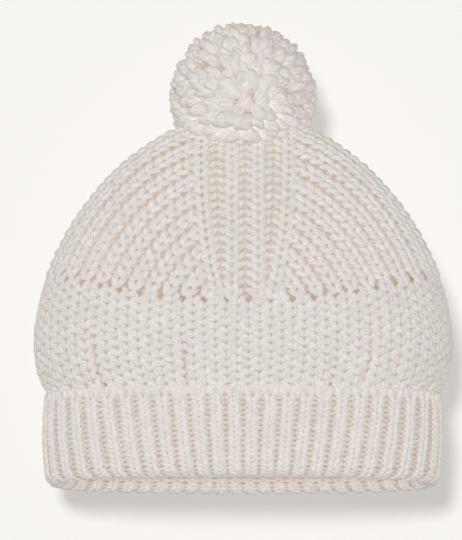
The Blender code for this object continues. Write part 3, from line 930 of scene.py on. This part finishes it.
def make_strands(name, node, front, skirt):
    """Plump two-ply strands that fan out from their half's eye and lie over each other like scales.

    The lowest ones rest on the crown. They go to the skirt, whose foot stays on the hat.
    """
    heap = Heap()
    eye = POMPOM_EYE * (1.0 if front else -1.0)
    aim = strand_aims(not front)
    if front:
        aim = aim[np.linalg.norm(aim - eye, axis=1) > EYE_GAP]
    cosine = np.sum(aim * eye, axis=1, keepdims=True)
    away = unit(cosine * aim - eye)
    theta = np.arccos(np.clip(cosine, -1, 1))
    lie = LIE * smooth_step(theta / 0.75) * (1.0 - 0.45 * smooth_step((theta - 1.25) / 0.5))
    lie = lie * random.uniform(0.85, 1.1, cosine.shape)
    heading = unit(np.cos(lie) * aim + np.sin(lie) * away + random.normal(0.0, 0.13, aim.shape))
    heading = sweep_sideways(aim, heading)
    thick = random.uniform(*STRAND_RADII, len(aim))
    reach = POMPOM_RADIUS - 0.0006 + random.uniform(-0.0008, 0.0008, len(aim))
    droop = DROOP * smooth_step(-aim[:, 2] / 0.55) * np.abs(aim[:, 1]) ** 1.1
    tip = POMPOM_CENTRE + aim * (reach + droop)[:, None]
    low = tip[:, 2] < lean_floor(tip) + thick
    tip[:, 2] = np.maximum(tip[:, 2], crown_top_under(tip) + thick)
    for pile, kept, floor in ((heap, ~low, lean_floor), (skirt, low, crown_top_under)):
        add_strands(pile, aim[kept], heading[kept], tip[kept], thick[kept], floor)
    if front:
        add_tufts(heap)
    add_core(heap, front)
    heap.build(name, pompom_wool, "pompom", [node])


def add_strands(heap, aim, heading, tip, thick, floor):
    """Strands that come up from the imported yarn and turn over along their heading."""
    bend = tip - heading * STRAIGHT
    root = POMPOM_CENTRE + (bend - POMPOM_CENTRE) * 0.62
    t = np.linspace(0.0, 1.0, 14)[None, :, None]
    centres = (1 - t) ** 2 * root[:, None] + 2 * t * (1 - t) * bend[:, None] + t**2 * tip[:, None]
    swell = np.interp(t[0, :, 0], [0.0, 0.35, 0.7, 0.88, 0.96, 1.0], [0.75, 0.95, 1.0, 0.86, 0.62, 0.4])
    radius = thick[:, None] * swell[None, :]
    centres[..., 2] = np.maximum(centres[..., 2], floor(centres) + radius)
    # The level falls towards the ball's middle, so shade is painted deep inside the pompom.
    level = np.linalg.norm(centres - POMPOM_CENTRE, axis=2) - POMPOM_RADIUS
    plied(heap, centres, aim[:, None, :], radius, level)


def add_tufts(heap):
    """The few large tufts round the front's eye."""
    place, way, thick = (np.array(values) for values in zip(*TUFTS))
    depth = np.sqrt((POMPOM_RADIUS - 0.0035) ** 2 - np.sum(place**2, axis=1))
    aim = unit(stack(place[:, 0], -depth, place[:, 1]))
    heading = unit(stack(way[:, 0], -0.18, way[:, 1]))
    tip = POMPOM_CENTRE + aim * (POMPOM_RADIUS - 0.0016) + heading * 0.003
    add_strands(heap, aim, heading, tip, thick, lean_floor)


def add_core(heap, front):
    """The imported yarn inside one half, which fills the gaps between its strands."""
    around = np.linspace(0.0, 2 * math.pi, 48, endpoint=False)[:, None]
    across = np.linspace(0.02, math.pi / 2, 16)[None, :]
    way = -1.0 if front else 1.0
    ball = stack(np.sin(across) * np.cos(around), way * np.cos(across), np.sin(across) * np.sin(around))
    lumps = 1.0 + 0.025 * np.sin(9 * around + 5 * across) * np.sin(11 * across)
    outer = POMPOM_CENTRE + ball * (POMPOM_RADIUS * CORE_SHARE * lumps)[..., None]
    outer[..., 2] = np.maximum(outer[..., 2], lean_floor(outer) + 0.0006)
    inner = POMPOM_CENTRE + ball * POMPOM_RADIUS * CORE_HOLLOW
    inner[..., 2] = np.maximum(inner[..., 2], lean_floor(inner) + 0.0018)
    if front:
        outer, inner = outer[::-1], inner[::-1]
    # The core's low levels paint it with full shade.
    heap.sheet(outer, inner, True, -0.005, -0.01)


def make_pompom():
    skirt = Heap()
    make_strands("pompom_front_strands", "pompom_front_half", True, skirt)
    make_strands("pompom_back_strands", "pompom_back_half", False, skirt)
    skirt.build("pompom_skirt_strands", pompom_wool, ("hat", "tie"))


# -------- hidden yarn
def ring_of(centre, radius, upright, steps=40):
    turn = np.linspace(0.0, 2 * math.pi, steps)
    across, along = radius * np.cos(turn), radius * np.sin(turn)
    return centre + (stack(across, 0.0, along) if upright else stack(across, along, 0.0))


def make_yarn(name, node, paths, radius, body):
    """Two-ply yarn along each path, in place of a plain solid."""
    heap = Heap()
    for path in paths:
        away = unit(path - path.mean(axis=0) + 1e-6)
        row = (1, len(path))
        plied(heap, path[None], away[None], np.full(row, radius), np.zeros(row), turn=0.006, sides=7)
    heap.build(name, tie_wool, body, [node])


def middle_of(node):
    low, high = (np.array(corner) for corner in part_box(node))
    return (low + high) / 2, high - low


def make_hidden_yarn():
    """The closing thread, the knot and tie of the pompom, and the seam inside the back."""
    middle, size = middle_of("closing_yarn")
    thread = ring_of(middle, size[0] / 2 - 0.0014, False)
    make_yarn("closing_thread", "closing_yarn", [thread], 0.0013, "hat")
    middle, size = middle_of("inner_knot")
    wraps = [ring_of(middle + np.array([0, 0, level]), size[0] / 2 - 0.0018, False)
             for level in (-0.0018, 0.0, 0.0018)]
    wraps += [ring_of(middle, 0.0026, False, 24), ring_of(middle, 0.003, True, 24)]
    make_yarn("knot_wraps", "inner_knot", wraps, 0.0017, "hat")
    middle, size = middle_of("pompom_tie_loop")
    loop = ring_of(middle, size[0] / 2 - 0.0012, size[2] > size[1])
    make_yarn("tie_loop_yarn", "pompom_tie_loop", [loop], 0.0012, "pompom")
    low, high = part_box("tie_neck")
    rise = np.linspace(low[2] + 0.001, high[2] - 0.001, 24)
    make_yarn("tie_neck_yarn", "tie_neck", [stack(0.0, 0.0, rise)], 0.0016, "tie")
    make_back_seam()


SEAM_ROW = 0.0036


def make_back_seam():
    """The sewn join down the inside of the back: a chain of leaning stitches."""
    heap = Heap()
    low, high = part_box("back_seam")
    z = np.linspace(low[2] + 0.001, high[2] - 0.001, 60)
    u = np.full(60, 0.5)
    inset = np.where(z < CUFF_TOP, 2 * THICKNESS, THICKNESS) + 0.0008
    behind_cuff = level_at(u, cuff_half_width(z), inset, z)
    place = np.where((z < CUFF_TOP)[:, None], behind_cuff, band_at(u, z, inset))
    wale = Wale(place, np.tile([0.0, -1.0, 0.0], (60, 1)))
    leg = leg_shape(0.0021, 0.0006, 1.0, 0.15, (-0.0003, 0.0004, 0.0003), 0.001)
    add_stitches(heap, [wale], 0.0, SEAM_ROW, int(wale.length / SEAM_ROW), leg)
    heap.build("back_seam_stitches", knit_wool, "hat", ["back_seam"])


# -------- stage, light, camera
PAPER = (0.93, 0.913, 0.888)
WALL_PAPER = (0.5, 0.493, 0.484)
PAPER_GLOW = 0.44
WALL_GLOW = 0.81
WALL_REACH = 0.62
WALL_PLACE = 0.058
FLOOR_REACH = 4
FLOOR_LEVEL = -0.0015
AIR_COLOUR = (1.0, 0.955, 0.91)
AIR_GLOW = 0.315
# Name, heading, strength, width in degrees, and whether it throws shadows. The window and the fills stand
# for light that the wool lets through, so they throw none.
HAT_LAMPS = [("key", (0.03, 1.0, 0.13), 1.00, 14, True),
             ("window", (1.6, 1.0, -0.6), 0.97, 60, False),
             ("side_fill", (-1.6, 1.0, 0.3), 0.72, 60, False),
             ("back_fill", (-0.3, -1.0, -0.4), 1.1, 60, False)]
WALL_LAMP = ("wall_sun", (0.125, 1.0, -0.095), 2.24, 8, True)


def mixed(tree, share, first, second):
    """Two shaders mixed by a share of the second."""
    mix = tree.nodes.new("ShaderNodeMixShader")
    for place, source in enumerate((share, first, second)):
        tree.links.new(source, mix.inputs[place])
    return mix.outputs["Shader"]


def fade_out(tree, place, reach):
    """A share that grows from 0 to 1 on the way out to the reach."""
    away = tree.nodes.new("ShaderNodeVectorMath")
    away.operation = "LENGTH"
    fade = tree.nodes.new("ShaderNodeMapRange")
    fade.interpolation_type = "SMOOTHSTEP"
    set_values(fade, {"From Min": reach * 0.35, "From Max": reach})
    tree.links.new(place, away.inputs[0])
    tree.links.new(away.outputs["Value"], fade.inputs["Value"])
    return fade.outputs["Result"]


def one_sided(name, colour, glow, reach=0.0):
    """A matt surface that shows from its front only, and fades out towards its reach if that is given."""
    material = bpy.data.materials.new(name)
    material.use_nodes = True
    tree = material.node_tree
    tree.nodes.clear()
    matt = tree.nodes.new("ShaderNodeBsdfPrincipled")
    set_values(matt, {"Base Color": (*colour, 1.0), "Roughness": 1.0, "Specular IOR Level": 0.0,
                      "Emission Color": (*colour, 1.0), "Emission Strength": glow})
    clear = tree.nodes.new("ShaderNodeBsdfTransparent").outputs["BSDF"]
    side = tree.nodes.new("ShaderNodeNewGeometry")
    shown = mixed(tree, side.outputs["Backfacing"], matt.outputs["BSDF"], clear)
    if reach:
        shown = mixed(tree, fade_out(tree, side.outputs["Position"], reach), shown, clear)
    out = tree.nodes.new("ShaderNodeOutputMaterial")
    tree.links.new(shown, out.inputs["Surface"])
    return material


def make_plane(name, corners, material):
    mesh = bpy.data.meshes.new(name)
    mesh.from_pydata(corners, [], [(0, 1, 2, 3)])
    mesh.materials.append(material)
    plane = put_in_scene(name, mesh)
    plane.visible_shadow = False
    plane.visible_diffuse = False


def make_stage():
    """A pale floor, and a patch of pale wall behind the hat that takes its soft shadow."""
    corners = ((-1, -1), (1, -1), (1, 1), (-1, 1))
    floor = [(x * FLOOR_REACH, y * FLOOR_REACH, FLOOR_LEVEL) for x, y in corners]
    make_plane("floor", floor, one_sided("floor_paper", PAPER, PAPER_GLOW))
    wall = [(x * WALL_REACH, WALL_PLACE, z * WALL_REACH) for x, z in corners]
    make_plane("wall", wall, one_sided("wall_paper", WALL_PAPER, WALL_GLOW, WALL_REACH * 0.9))


def make_world():
    """Plain paper where the camera looks past the stage, and a warm even light on the hat."""
    world = bpy.data.worlds.new("studio")
    bpy.context.scene.world = world
    world.use_nodes = True
    tree = world.node_tree
    tree.nodes.clear()
    seen = tree.nodes.new("ShaderNodeBackground")
    set_values(seen, {"Color": (*PAPER, 1.0)})
    glow = tree.nodes.new("ShaderNodeBackground")
    set_values(glow, {"Color": (*AIR_COLOUR, 1.0), "Strength": AIR_GLOW})
    path = tree.nodes.new("ShaderNodeLightPath")
    out = tree.nodes.new("ShaderNodeOutputWorld")
    backgrounds = glow.outputs["Background"], seen.outputs["Background"]
    tree.links.new(mixed(tree, path.outputs["Is Camera Ray"], *backgrounds), out.inputs["Surface"])


def make_sun(name, heading, strength, width, shadow):
    light = bpy.data.lights.new(name, "SUN")
    light.energy = strength
    light.use_shadow = shadow
    light.angle = math.radians(width)
    lamp = put_in_scene(name, light)
    lamp.rotation_mode = "QUATERNION"
    lamp.rotation_quaternion = Vector(heading).to_track_quat("-Z", "Y")
    return lamp


def light_only(lamp, things):
    """The lamp lights these objects and no others."""
    lit = bpy.data.collections.new(lamp.name + "_lit")
    for thing in things:
        lit.objects.link(thing)
    lamp.light_linking.receiver_collection = lit


def make_lights():
    """Soft light on the hat and the floor from all round, and a sun for the hat's shadow on the wall."""
    wall = bpy.data.objects["wall"]
    others = [thing for thing in bpy.data.objects if thing.type == "MESH" and thing != wall]
    for lamp in HAT_LAMPS:
        light_only(make_sun(*lamp), others)
    light_only(make_sun(*WALL_LAMP), [wall])


FRAME_HEIGHT = 0.2603
FRAME_MIDDLE = (-0.0058, 0.0, 0.104)
CAMERA_ELEVATION = math.radians(-7.5)
CAMERA_DISTANCE = 3.2


def make_camera():
    data = bpy.data.cameras.new("camera")
    data.sensor_width = 36.0
    data.lens = data.sensor_width * CAMERA_DISTANCE / FRAME_HEIGHT
    data.clip_start, data.clip_end = 0.05, 60.0
    camera = put_in_scene("camera", data)
    x, y, z = FRAME_MIDDLE
    camera.location = (x, y - CAMERA_DISTANCE * math.cos(CAMERA_ELEVATION),
                       z + CAMERA_DISTANCE * math.sin(CAMERA_ELEVATION))
    camera.rotation_euler = (math.pi / 2 - CAMERA_ELEVATION, 0.0, 0.0)
    bpy.context.scene.camera = camera


make_camera()
make_world()
make_stage()
make_cuff()
make_band()
make_crown()
make_pompom()
make_hidden_yarn()
make_lights()
bpy.context.scene.view_settings.view_transform = "Standard"
bpy.context.scene.cycles.diffuse_bounces = 8
